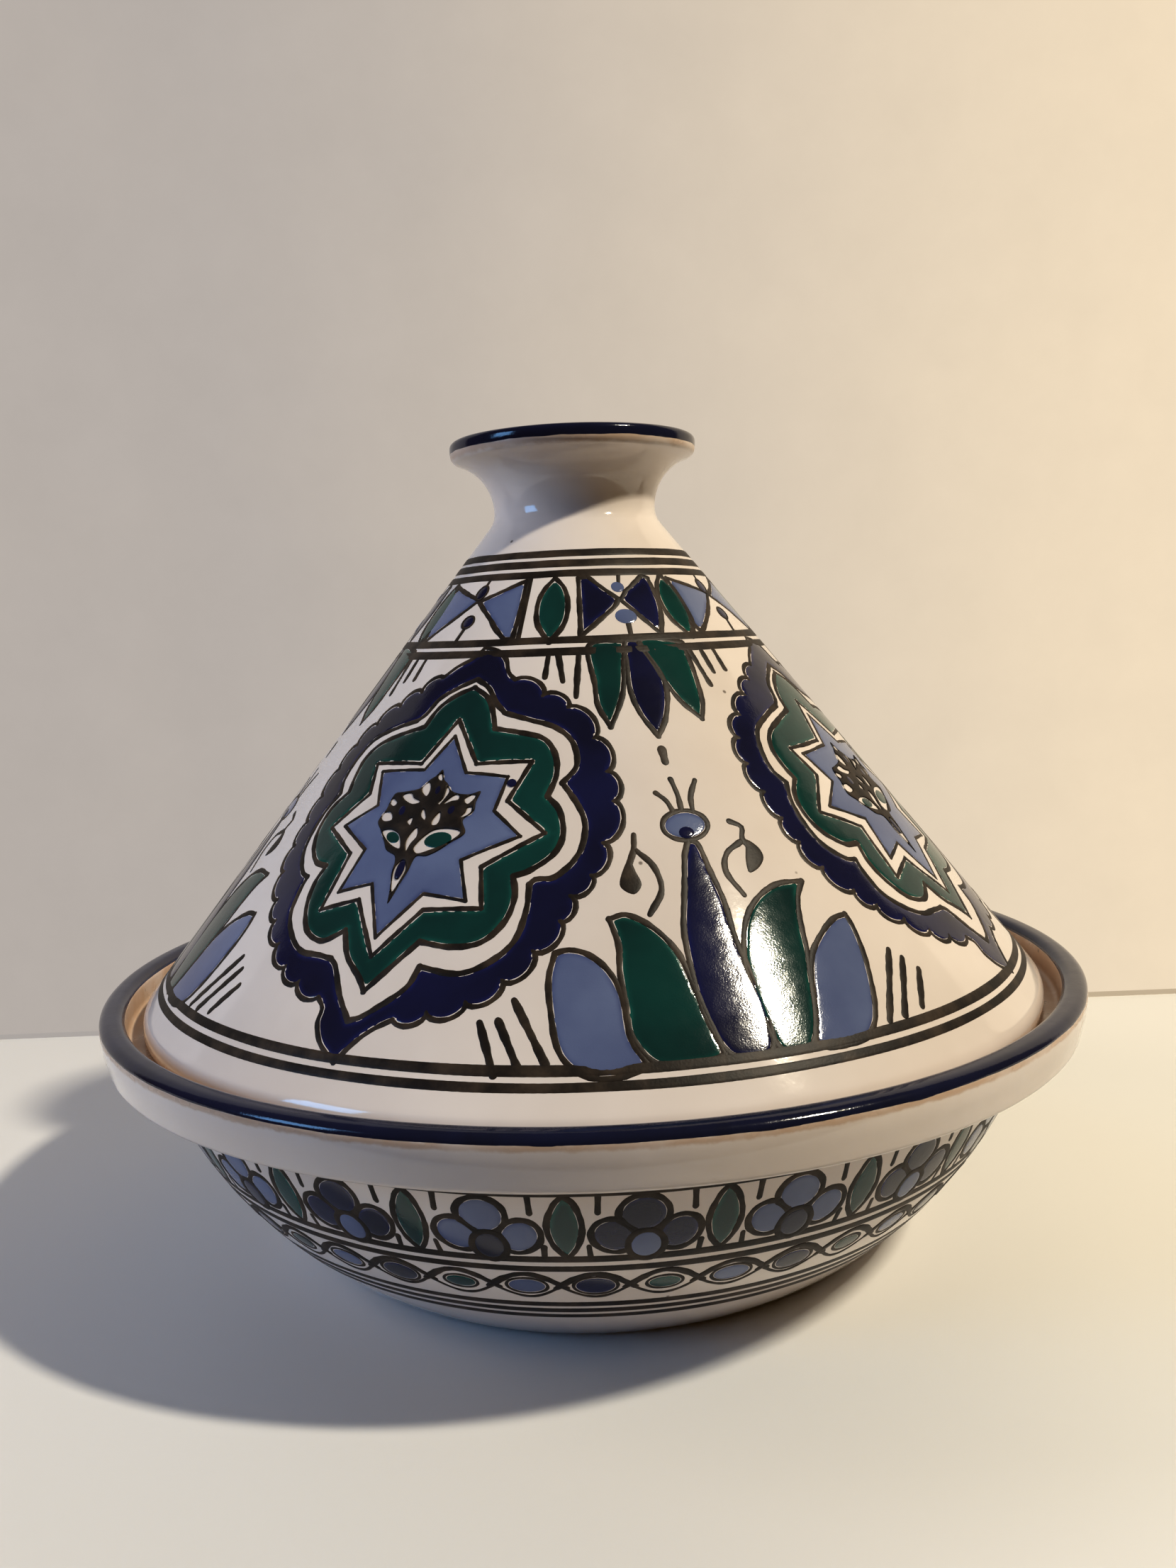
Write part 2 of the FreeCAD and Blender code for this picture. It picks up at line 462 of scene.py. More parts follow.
dishForm = {
    "rimRadius": cadBox[1].x / mm - enamelLift,
    "rimHeight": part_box("dish")[1].z / mm - enamelLift,
    "collarHeight": 14.2,
    "collarUpright": 5.5,
    "collarTaper": 1.9,
    "collarWall": 7.3,
    "collarOverhang": 12.6,
    "collarSlope": 1.2,
    "seatHeight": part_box("lid")[0].z / mm,
    "footRadius": 88.0,
    "footWidth": 13.0,
    "footRecess": 2.5,
    "bowlBulge": 6.7,
    "bowlWall": 8.0,
    "bowlFloor": 9.0,
    "rounds": [0.8, 1.0, 1.3, 1.6, 1.6, 2.0, 2.9, 2.9, 1.8, 1.8, 5.0],
}


def dishOutline():
    d = dishForm
    collarLow = (d["rimRadius"] - d["collarTaper"], d["rimHeight"] - d["collarHeight"])
    collarHigh = (d["rimRadius"], d["rimHeight"] - d["collarUpright"])
    bowlTop = (collarLow[0] - d["collarOverhang"], collarLow[1] - d["collarSlope"])
    foot = (d["footRadius"], 0.0)
    chord = math.dist(foot, bowlTop)
    radius = (chord ** 2 / 4 + d["bowlBulge"] ** 2) / (2 * d["bowlBulge"])
    inward = ((foot[1] - bowlTop[1]) / chord, (bowlTop[0] - foot[0]) / chord)
    centre = [(foot[i] + bowlTop[i]) / 2 + inward[i] * (radius - d["bowlBulge"]) for i in (0, 1)]

    def inside(height):
        return (centre[0] + math.sqrt((radius - d["bowlWall"]) ** 2 - (height - centre[1]) ** 2), height)

    recess = d["footRecess"]
    footIn = d["footRadius"] - d["footWidth"]
    rimOut = (d["rimRadius"], d["rimHeight"])
    rimIn = (d["rimRadius"] - d["collarWall"], d["rimHeight"])
    gallery = (rimIn[0], d["seatHeight"])
    ledge = inside(d["seatHeight"])
    floor = inside(recess + d["bowlFloor"])
    runs = chainOf([(0, recess), (footIn, recess), (footIn, 0), foot], [6, 2.6, 2.6])
    runs.append(arcRun(centre, foot, bowlTop))
    runs += chainOf([bowlTop, collarLow, collarHigh, rimOut, rimIn, gallery, ledge], [2.6] * 6)
    runs.append(arcRun(centre, ledge, floor))
    runs.append(lineRun(floor, (0, floor[1]), 6))
    return joinRuns(runs, d["rounds"])


lidForm = {
    "baseRadius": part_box("lid")[1].x / mm,
    "baseHeight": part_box("lid")[0].z / mm,
    "knobTop": cadBox[1].z / mm - enamelLift,
    "edgeHeight": 5.9,
    "edgeWidth": 8.0,
    "coneWall": 7.5,
    "neckRadius": 25.0,
    "neckHollow": 7.5,
    "knobRadius": 38.0 - enamelLift,
    "knobHeight": 21.3 - enamelLift,
    "flareHollow": 15.8,
    "knobWall": 6.5,
    "cupBelow": 6.5,
    "knobFloor": 8.0,
    "rounds": [8.0, 1.5, 1.8, 2.4, 2.0, 0, 0, 1.9, 1.7, 1.6, 0, 3.5],
}


def lidOutline():
    d = lidForm
    neckHeight = d["knobTop"] - d["knobHeight"]
    neck = (d["neckRadius"], neckHeight)
    neckCentre = (d["neckRadius"] + d["neckHollow"], neckHeight)
    flareCentre = (d["neckRadius"] + d["flareHollow"], neckHeight)
    innerFlare = d["flareHollow"] + d["knobWall"]
    base = (d["baseRadius"], d["baseHeight"])
    coneLow = (d["baseRadius"], d["baseHeight"] + d["edgeHeight"])
    reach = math.dist(coneLow, neckCentre)
    lean = math.atan2(coneLow[0] - neckCentre[0], neckCentre[1] - coneLow[1])
    lean += math.asin(d["neckHollow"] / reach)
    slant = math.sqrt(reach ** 2 - d["neckHollow"] ** 2)
    coneHigh = (coneLow[0] - slant * math.sin(lean), coneLow[1] + slant * math.cos(lean))
    knobRise = math.sqrt(d["flareHollow"] ** 2 - (d["knobRadius"] - flareCentre[0]) ** 2)
    knobLow = (d["knobRadius"], neckHeight + knobRise)
    lipOut = (d["knobRadius"], d["knobTop"])
    lipIn = (flareCentre[0] - math.sqrt(innerFlare ** 2 - d["knobHeight"] ** 2), d["knobTop"])
    cupNeck = (d["neckRadius"] - d["knobWall"], neckHeight)
    cupEdge = (cupNeck[0], neckHeight - d["cupBelow"])
    inShift = d["coneWall"] / math.cos(lean)
    vaultZ = cupEdge[1] - d["knobFloor"]
    vaultEdge = (coneLow[0] - inShift - (vaultZ - coneLow[1]) * math.tan(lean), vaultZ)
    baseIn = (d["baseRadius"] - d["edgeWidth"], d["baseHeight"])
    insideLow = (baseIn[0], coneLow[1] + (coneLow[0] - inShift - baseIn[0]) / math.tan(lean))
    runs = chainOf([(0, vaultZ), vaultEdge, insideLow, baseIn, base, coneLow, coneHigh],
                   [4, 3.2, 2.6, 2.6, 2.6, 3.0])
    runs += [arcRun(neckCentre, coneHigh, neck, 1.2), arcRun(flareCentre, neck, knobLow, 1.6)]
    runs += chainOf([knobLow, lipOut, lipIn], [2.6] * 2)
    runs.append(arcRun(flareCentre, lipIn, cupNeck, 2.0))
    runs += chainOf([cupNeck, cupEdge, (0, cupEdge[1])], [2.6, 4])
    lidForm["lean"] = lean
    lidForm["apex"] = coneLow[1] + coneLow[0] / math.tan(lean)
    return joinRuns(runs, d["rounds"])


def outlineCurve(name, points):
    data = bpy.data.curves.new(name, "CURVE")
    data.dimensions = "3D"
    spline = data.splines.new("POLY")
    spline.points.add(len(points) - 1)
    for p, (r, z) in zip(spline.points, points):
        p.co = (r * mm, 0, z * mm, 1)
    return link(name, data)


# the painter's flat patterns, in millimetres: x to the right, y up the wall

def smoothRun(points, step=1.1, closed=False):
    # a run of points eased through the given ones
    hand = [Vector(p) for p in points]
    count = len(hand)
    run = []
    for i in range(count if closed else count - 1):
        here, after = hand[i], hand[(i + 1) % count]
        before = hand[i - 1] if closed or i else here * 2 - after
        beyond = hand[(i + 2) % count] if closed or i + 2 < count else after * 2 - here
        span = (after - here).length
        leave = (after - before) * (span / (span + (here - before).length + 1e-9))
        arrive = (beyond - here) * (span / (span + (beyond - after).length + 1e-9))
        pieces = max(1, round(span / step))
        for k in range(pieces):
            t = k / pieces
            p = here * (2 * t**3 - 3 * t**2 + 1) + leave * (t**3 - 2 * t**2 + t)
            run.append(tuple(p + after * (3 * t**2 - 2 * t**3) + arrive * (t**3 - t**2)))
    if not closed:
        run.append(tuple(hand[-1]))
    return run


def cornered(runs, step=1.1):
    # a closed outline from runs that meet at corners: each run starts where the one before it ends
    lastPoint = runs[-1][-1]
    made = []
    for run in runs:
        made.append(smoothRun([lastPoint] + run, step))
        lastPoint = run[-1]
    return made


def scalloped(cusps, bulge, middle=(0, 5)):
    # arcs from cusp to cusp that swell away from the middle
    made = []
    for a, b in zip(cusps, cusps[1:]):
        a, b = Vector(a), Vector(b)
        chord = b - a
        out = Vector((chord.y, -chord.x))
        if out.dot((a + b) / 2 - Vector(middle)) < 0:
            out = -out
        pieces = max(4, round(chord.length / 1.1))
        made.append([tuple(a + chord * t + out * bulge * (4 * t * (1 - t)) ** 0.72)
                     for t in (k / pieces for k in range(pieces + 1))])
    return made


def loopOf(runs):
    return [p for run in runs for p in run[:-1]]


def roundLoop(middle, rx, ry, tilt=0.0, step=0.9):
    count = max(12, round(math.pi * (rx + ry) / step))
    c, s = math.cos(tilt), math.sin(tilt)
    loop = []
    for k in range(count):
        a = math.tau * k / count
        x, y = rx * math.cos(a), ry * math.sin(a)
        loop.append((middle[0] + x * c - y * s, middle[1] + x * s + y * c))
    return loop


def swollen(runs, amount, middle=(0, 6)):
    # the same outline a little larger, or smaller, about its middle
    centre = Vector(middle)
    grown = []
    for run in runs:
        grown.append([tuple(Vector(p) + (Vector(p) - centre).normalized() * amount) for p in run])
    return grown


def insideLoop(points, loop):
    # which points lie inside the loop
    x, y = points[:, 0], points[:, 1]
    hit = np.zeros(len(points), bool)
    ends = np.array(loop)
    for (ax, ay), (bx, by) in zip(ends, np.roll(ends, -1, 0)):
        if ay != by:
            hit ^= ((ay > y) != (by > y)) & (x < (bx - ax) * (y - ay) / (by - ay) + ax)
    return hit


def insideArea(points, loop, holes):
    inside = insideLoop(points, loop)
    for hole in holes:
        inside &= ~insideLoop(points, hole)
    return inside


def edgeDistance(points, loops):
    best = np.full(len(points), 1e9)
    for loop in loops:
        ends = np.array(loop)
        for a, b in zip(ends, np.roll(ends, -1, 0)):
            along = b - a
            t = np.clip(((points - a) @ along) / (along @ along + 1e-12), 0, 1)
            best = np.minimum(best, np.hypot(*(points - a - t[:, None] * along).T))
    return best


brush = {
    "step": 2.4,                    # between points in the middle of a pool
    "rows": (0, 0.35, 0.9, 1.9),    # further in from the outline, where the pool rounds over
    "soft": 0.9,                    # how quickly a pool reaches its full depth
    "sunk": 0.08,                   # a pool's edge lies under the glaze by this much
    "endWidths": (0.22, 0.6, 0.89),
    "endPlaces": (0.95, 0.8, 0.45),
    "across": ((1, None), (0.7, 0.75), (0, 1), (-0.7, 0.75), (-1, None)),   # side and share of the height
    "edgeSunk": 0.05,
    "bottomSunk": 0.12,
}


class FlatWork:
    # one enamel's share of a pattern, laid out flat: z is the height that it stands above the glaze

    def __init__(self):
        self.verts = []
        self.faces = []

    def add(self, verts, faces):
        base = len(self.verts)
        self.verts += verts
        self.faces += [tuple(base + i for i in face) for face in faces]

    def pool(self, loop, holes=(), depth=0.10, margin=0.45, under=0.0):
        # enamel that has pooled between its outlines: rounded over at its edge, flat in the middle
        step = brush["step"]
        loops = [loop, *holes]
        edge = np.array([p for one in loops for p in one])
        inner = []
        ties = []
        for one in loops:
            ends = np.array(one)
            way = np.roll(ends, -1, 0) - np.roll(ends, 1, 0)
            side = np.stack([-way[:, 1], way[:, 0]], 1) / (np.hypot(*way.T)[:, None] + 1e-9)
            for further in brush["rows"]:
                off = margin + further
                for sign in (1, -1):
                    row = ends + side * off * sign
                    inner.append(row[edgeDistance(row, loops) > off * 0.9])
            first = len(ties)
            ties += [(first + i, first + (i + 1) % len(one)) for i in range(len(one))]
        low, high = edge.min(0), edge.max(0)
        gx, gy = np.meshgrid(np.arange(low[0], high[0], step), np.arange(low[1], high[1], step * 0.87))
        gx[1::2] += step / 2
        grid = np.stack([gx.ravel(), gy.ravel()], 1)
        inner.append(grid[edgeDistance(grid, loops) > margin + brush["rows"][-1] + step * 0.35])
        inner = np.concatenate(inner)
        inner = inner[insideArea(inner, loop, holes)]

        def filled(points):
            out = geometry.delaunay_2d_cdt([Vector(p) for p in points], ties, [], 0, 1e-5, True)
            spots = np.array([tuple(v) for v in out[0]])
            tris = np.array(out[2])
            return spots, tris[insideArea(spots[tris].mean(1), loop, holes)]

        def key(p):
            return round(p[0], 4), round(p[1], 4)

        spots, tris = filled(np.concatenate([edge, inner]))
        deep = edgeDistance(spots, loops) - margin
        height = np.where(deep > 0, depth * (1 - np.exp(-deep / brush["soft"])), -brush["sunk"]) + under
        below, undersides = filled(edge)
        known = {key(p): i for i, p in enumerate(spots)}
        match = [known.get(key(p)) for p in below]
        faces = [tuple(t) for t in tris]
        if None not in match:
            faces += [tuple(match[i] for i in t[::-1]) for t in undersides]
        self.add([(p[0], p[1], h) for p, h in zip(spots, height)], faces)

    def stroke(self, points, width=1.6, lift=0.06, closed=False, under=0.0):
        # one pull of a loaded brush: rounded across, blunt at its ends, and never quite even
        run = [Vector(p) for p in points]
        half = width / 2
        if not closed:
            first = (run[0] - run[1]).normalized()
            last = (run[-1] - run[-2]).normalized()
            run = [run[0] + first * half * k for k in brush["endPlaces"]] + run
            run += [run[-1] + last * half * k for k in brush["endPlaces"][::-1]]
        phase = handRandom.uniform(0, 6)
        travelled = 0.0
        verts = []
        count = len(run)
        for i, p in enumerate(run):
            before = run[i - 1] if closed or i else p
            after = run[(i + 1) % count] if closed or i + 1 < count else p
            way = (after - before).normalized()
            side = Vector((-way.y, way.x))
            travelled += (p - before).length
            sway = 0.12 * math.sin(phase + travelled * 0.55) + 0.07 * math.sin(phase * 3 + travelled * 1.7)
            wide = half * (1 + sway)
            fromEnd = min(i, count - 1 - i)
            if not closed and fromEnd < 3:
                wide *= brush["endWidths"][fromEnd]
            rise = lift * min(1.0, wide / half + 0.15)
            for place, share in brush["across"]:
                high = -brush["edgeSunk"] if share is None else rise * share
                verts.append((*(p + side * wide * place), high + under))
            verts.append((*p, under - brush["bottomSunk"]))
        faces = []
        for i in range(count if closed else count - 1):
            j = (i + 1) % count
            faces += [(i * 6 + k, i * 6 + (k + 1) % 6, j * 6 + (k + 1) % 6, j * 6 + k) for k in range(6)]
        if not closed:
            faces.append(tuple(range(6))[::-1])
            faces.append(tuple((count - 1) * 6 + k for k in range(6)))
        self.add(verts, faces)


enamelSlots = {
    "cobalt": "cobalt_enamel",
    "sky": "sky_enamel",
    "green": "green_enamel",
    "outlines": "dark_outline",
    "rims": "cobalt_enamel",
}


class Pattern:
    # a pattern in all its enamels

    def __init__(self):
        self.works = {enamel: FlatWork() for enamel in enamelSlots}

    def __getitem__(self, enamel):
        return self.works[enamel]

    def shape(self, enamel, runs, width=1.8):
        # an area of enamel with its dark outline
        self[enamel].pool(loopOf(runs), margin=width * 0.33)
        for run in runs:
            self["outlines"].stroke(run, width)

    def spot(self, enamel, middle, rx, ry, tilt=0.0, width=1.6, depth=0.10, under=0.0):
        loop = roundLoop(middle, rx, ry, tilt)
        self[enamel].pool(loop, (), depth, under=under, margin=width * 0.33 if width else 0.05)
        if width:
            self["outlines"].stroke(loop, width, closed=True, under=under)

    def rollOnto(self, group, wall, rolled, copies, first, step, seed):
        # one painted piece for each enamel, repeated round the pot; first and step are in degrees
        for enamel, work in self.works.items():
            if not work.verts:
                continue
            name = group + "_" + enamel
            flat = link(name, asMesh(name, work.verts, work.faces))
            mesh = runTree(patternTree, flat, name, {
                "Wall": wall, "Uneven": uneven, "Material": enamels[enamel], "Copies": copies, "Seed": seed,
                "First Angle": math.radians(first), "Step": math.radians(step), **rolled})
            dropObject(flat)
            place(link(name, mesh), enamelSlots[enamel])


def place(piece, slotName):
    body = piece.name.split("_")[0]
    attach(piece, body)
    print("painted", piece.name, len(piece.data.polygons))


def ringLine(name, wall, spans, enamel, **values):
    # lines or bands painted while the pot turns: spans are pairs of lengths along the wall, in millimetres
    joined = bmesh.new()
    for i, (start, end) in enumerate(spans):
        mesh = runTree(lineTree, wall, name + str(i), {
            "Around": 360, "Rows": 7, "From": start * mm, "To": end * mm, "From Wander": 0.7 * mm,
            "To Wander": 0.7 * mm, "Ripple": 2.4, "Lift": 0.08 * mm, "Seed": i * 1.7, "Uneven": uneven,
            "Material": enamels[enamel], **values})
        joined.from_mesh(mesh)
        bpy.data.meshes.remove(mesh)
    whole = bpy.data.meshes.new(name)
    joined.to_mesh(whole)
    joined.free()
    whole.materials.append(enamels[enamel])
    place(link(name, whole), enamelSlots[enamel])


def lengthAt(path, height):
    # length along an outline to where it first passes this height
    run = 0.0
    for a, b in zip(path, path[1:]):
        if (a[1] - height) * (b[1] - height) <= 0 and a[1] != b[1]:
            return run + math.dist(a, b) * (height - a[1]) / (b[1] - a[1])
        run += math.dist(a, b)
    return run


def lengthNear(path, spot):
    # length along an outline to its point nearest this one
    best, run = (1e9, 0.0), 0.0
    for a, b in zip(path, path[1:]):
        best = min(best, (math.dist(a, spot), run))
        run += math.dist(a, b)
    return best[1]


def outerPart(outline, start, end):
    # the stretch of an outline between the points nearest these two
    first = min(range(len(outline)), key=lambda i: math.dist(outline[i], start))
    last = min(range(len(outline)), key=lambda i: math.dist(outline[i], end))
    return outline[first:last + 1]


medallion = {
    "middle": 128.0,    # height on the cone of the pattern's own zero
    "firstAngle": -28.5,
    "scallops": [
        (13, 56.2), (22.6, 52.8), (30.3, 50.5), (39.7, 42.8), (45.7, 33.7), (49.7, 25.6), (50.5, 13.1),
        (50.1, 3.5), (46.8, -3.2), (46.3, -10.3), (42.2, -19.4), (37.2, -28.2), (30.1, -35.2), (21.3, -39.4),
        (13, -41.9),
    ],
    "foot": [[(8.6, -45), (4.8, -49), (1.5, -54)], [(-4.4, -50), (-7.6, -45), (-7.8, -41.4), (-10.3, -38.8)]],
    "leftScallops": [
        (-10.3, -38.8), (-19.1, -35.7), (-26.2, -31.7), (-32.8, -25.3), (-38.7, -18.2), (-42.4, -11.5),
        (-46.2, -2.3), (-47, 6.4), (-46.2, 14.3), (-44.7, 22.7), (-42.4, 31.8), (-38.3, 39.3), (-32, 45.2),
        (-24, 49.8), (-17, 53.5), (-10.3, 57.2),
    ],
    "head": [[(-6.6, 60.4), (-2.6, 62.6), (0.4, 66.4)], [(4.4, 65.6), (8.4, 62.4), (10.4, 58.4), (13, 56.2)]],
    "ring": [
        [(-3.7, 52.3), (-8.7, 48.9), (-11.2, 44.3), (-13.7, 42.3)],
        [(-20.3, 41), (-28.7, 38.5), (-33.7, 32.7), (-35.3, 26), (-34.1, 21.3)],
        [(-37.8, 16), (-39.5, 9.3), (-39, 2.7), (-35.3, -3.2), (-32, -5)],
        [(-32.8, -9), (-32.4, -15.7), (-28.7, -21.5), (-22, -26.5), (-15.3, -27.3), (-11, -28)],
        [(-8.7, -29.8), (-4.5, -36.5), (1.1, -43.2)],
        [(4.7, -41.5), (13.4, -33.2), (15, -27.5)],
        [(24.7, -27.8), (31.3, -24), (35.9, -17.3), (36.3, -9), (35, -2.3)],
        [(35.9, -0.7), (40.5, 1), (44.3, 8.5), (43.8, 16), (40.5, 21.4), (34.7, 26.8)],
        [(36.8, 32.7), (33.8, 39.3), (28, 42.7), (21.3, 43.5), (13.4, 44.8)],
        [(9.7, 48), (6.3, 52.3), (1.7, 55.2)],
    ],
    "green": [
        [(-3.7, 50.6), (-7.8, 46.8), (-10.3, 41)],
        [(-17.8, 39.3), (-26.2, 36.8), (-30.3, 32.7), (-31.3, 26.8), (-31, 21.8)],
        [(-36.2, 16.8), (-37.8, 10.2), (-36.2, 4.3), (-32, -0.7), (-27, -2.3)],
        [(-28.7, -7.3), (-27.8, -14.8), (-23.7, -21.5), (-17, -24.4), (-12, -22.3), (-10.3, -21.1)],
        [(-6.2, -28.2), (-0.3, -33.2), (2.5, -36.5)],
        [(10.5, -25.7), (13, -22.2)],
        [(21.3, -22.3), (28.8, -19.8), (33, -13.2), (33.4, -6.5), (31.3, -1.1)],
        [(34.7, 1), (39.3, 6.8), (40.1, 12.7), (37.2, 19.3), (33, 22.7)],
        [(33.4, 29.3), (31.3, 35.2), (27.2, 39.3), (20.5, 40.2), (12.6, 40.6)],
        [(10.1, 46), (7.2, 50.2), (1.8, 53.5)],
    ],
    "whiteStar": [
        (0.7, 41.7), (10.5, 28.3), (25.1, 31.2), (22.2, 18.9), (34.3, 12), (21.3, 0.2), (25.1, -10.5),
        (10.3, -12.8), (0.9, -26.3), (-9.3, -11.5), (-21, -14.7), (-18.3, 1.4), (-30.5, 10), (-20.3, 19.3),
        (-22.4, 29.2), (-6, 27.8),
    ],
    "blueStar": [
        (1.3, 37.5), (8.8, 26.4), (20.9, 26.4), (20.5, 16), (29.5, 10), (16.3, 1), (21.3, -9.8), (9.3, -9.4),
        (0.1, -22.3), (-7.4, -7.8), (-17.8, -10.3), (-14.5, 2.3), (-26, 10.2), (-16.2, 16), (-19.7, 27),
        (-4.5, 26.8),
    ],
}

bouquet = {
    "bunch": [
        (1.5, 26.6), (2.9, 23.8), (4.6, 22.4), (6, 20.7), (8.2, 19.8), (12.1, 19.8), (14.8, 21), (14.5, 17.8),
        (14.8, 15), (12.7, 12.2), (14.6, 8.6), (11.6, 5.6), (8.8, 2.8), (6, 1.1), (3.2, 0.8), (2.4, -3.3),
        (1.3, -7.5), (0, -12.8), (-0.9, -8.9), (-2.3, -4.2), (-2.6, -1.1), (-3.4, 0.6), (-6.8, 2.2),
        (-8.4, 4.4), (-11.1, 7.9), (-13.4, 10.8), (-12.1, 14.4), (-11.9, 16.7), (-11.1, 19.3), (-8.4, 19.7),
        (-3.4, 20.8), (-1.2, 23.5), (0.2, 24.7),
    ],
    "gaps": [
        [(1.5, 25.4), (0.9, 24.7), (1.4, 23.6), (2.5, 23.3), (2.2, 24.5)],
        [(-1.2, 22.6), (-2.7, 21.1), (-2.3, 19.7), (-0.5, 18.5), (-0.1, 20.6)],
        [(-8.2, 18.6), (-5.7, 19.2), (-4.3, 17.8), (-1.9, 16.7), (-4, 16), (-7.3, 17.4)],
        [(-11.3, 17.6), (-9.3, 16.4), (-10, 15.4), (-11.5, 16.2)],
        [(-12.3, 13.3), (-10, 13.3), (-8.9, 11.3), (-11.2, 10.8), (-12.7, 11.9)],
        [(-2.3, 11.9), (-3.6, 10.8), (-2.3, 9.7)],
        [(0.1, 14.6), (1.7, 12.2), (1.7, 11.4), (0.4, 12.2), (-0.1, 13.3)],
        [(5.4, 13.9), (6.1, 11.9), (5.7, 10.3), (4.3, 10.1), (4.1, 11.4)],
        [(0.2, 9), (1.1, 6.7), (0, 4.4), (-0.5, 2.2), (-1.5, 5.3)],
        [(4.9, 21.4), (5.9, 20.3), (5.6, 18.9), (4.3, 16.1), (3.9, 16.4), (4.9, 18.1)],
        [(8.2, 19.3), (9.3, 19), (9.3, 17.9), (7.7, 17.5), (5.7, 16.4), (6.6, 17.8)],
        [(12.9, 19.7), (13.9, 19.6), (13.7, 18.6), (12.3, 16.9), (11.1, 18.1)],
        [(12.8, 15.8), (14, 16), (14.2, 15), (13.4, 13.8), (11.8, 12.9), (12.7, 14.4)],
        [(-10.4, 7.7), (-7.9, 8.2), (-4.6, 6.7), (-2.8, 2.9), (-5.1, 3.4), (-8, 5.2)],
        [(1.5, 3.3), (4.9, 8.1), (8.8, 9.3), (13.2, 8.7), (10.4, 5.3), (6, 2.8), (2.9, 1.7)],
        [(-0.1, -0.4), (-1.8, -2.5), (-1.4, -6.1), (-0.1, -9.4), (1.1, -5.5), (1.5, -2.8)],
    ],
    "greenBuds": [((-6.4, 6), 2.7, 1.7, -0.45), ((7.6, 6), 4.1, 2.5, 0.2)],
    "blueBuds": [
        ((2.4, 20.3), 1.1, 1.6, 0), ((-6.5, 13.9), 1.4, 1.8, 0.2), ((8.5, 14.7), 1.3, 1.6, -0.2),
        ((-0.1, -3.2), 1.2, 2.9, 0),
    ],
}


def drawMedallion():
    p = Pattern()
    right, left = medallion["scallops"], medallion["leftScallops"]
    scallops = scalloped(right, 0.24) + cornered([[right[-1]], *medallion["foot"]])[1:]
    scallops += scalloped(left, 0.24) + cornered([[left[-1]], *medallion["head"]])[1:]
    ring = swollen(cornered(medallion["ring"]), 0.5)
    green = swollen(cornered(medallion["green"]), -0.5)
    whiteStar = swollen(cornered([[corner] for corner in medallion["whiteStar"]]), 0.7)
    blueStar = swollen(cornered([[corner] for corner in medallion["blueStar"]]), -0.3)
    bunch = smoothRun(bouquet["bunch"], 0.8, True)
    gaps = [smoothRun(gap, 0.7, True) for gap in bouquet["gaps"]]
    p["cobalt"].pool(loopOf(scallops), [loopOf(ring)], margin=0.6)
    p["green"].pool(loopOf(green), [loopOf(whiteStar)], margin=0.6)
    p["sky"].pool(loopOf(blueStar), gaps, margin=0.3)
    p["outlines"].pool(bunch, gaps, 0.08, margin=0.0, under=0.22)
    for runs, width in ((scallops, 1.6), (ring, 1.9), (green, 1.9), (whiteStar, 1.5), (blueStar, 1.2)):
        for run in runs:
            p["outlines"].stroke(run, width)
    for bud in bouquet["greenBuds"]:
        p.spot("green", *bud, width=0, depth=0.2)
    for bud in bouquet["blueBuds"]:
        p.spot("cobalt", *bud, width=0, depth=0.12, under=0.26)
    p.spot("cobalt", (22.3, 24.5), 1.3, 1.2, width=0, under=0.25)
    for cusp in right[1:-1] + left[1:-1]:
        inwards = (Vector((0, 5)) - Vector(cusp)).normalized()
        p["outlines"].stroke([cusp, tuple(Vector(cusp) + inwards * handRandom.uniform(0.8, 2.4))], 1.5)
    return p


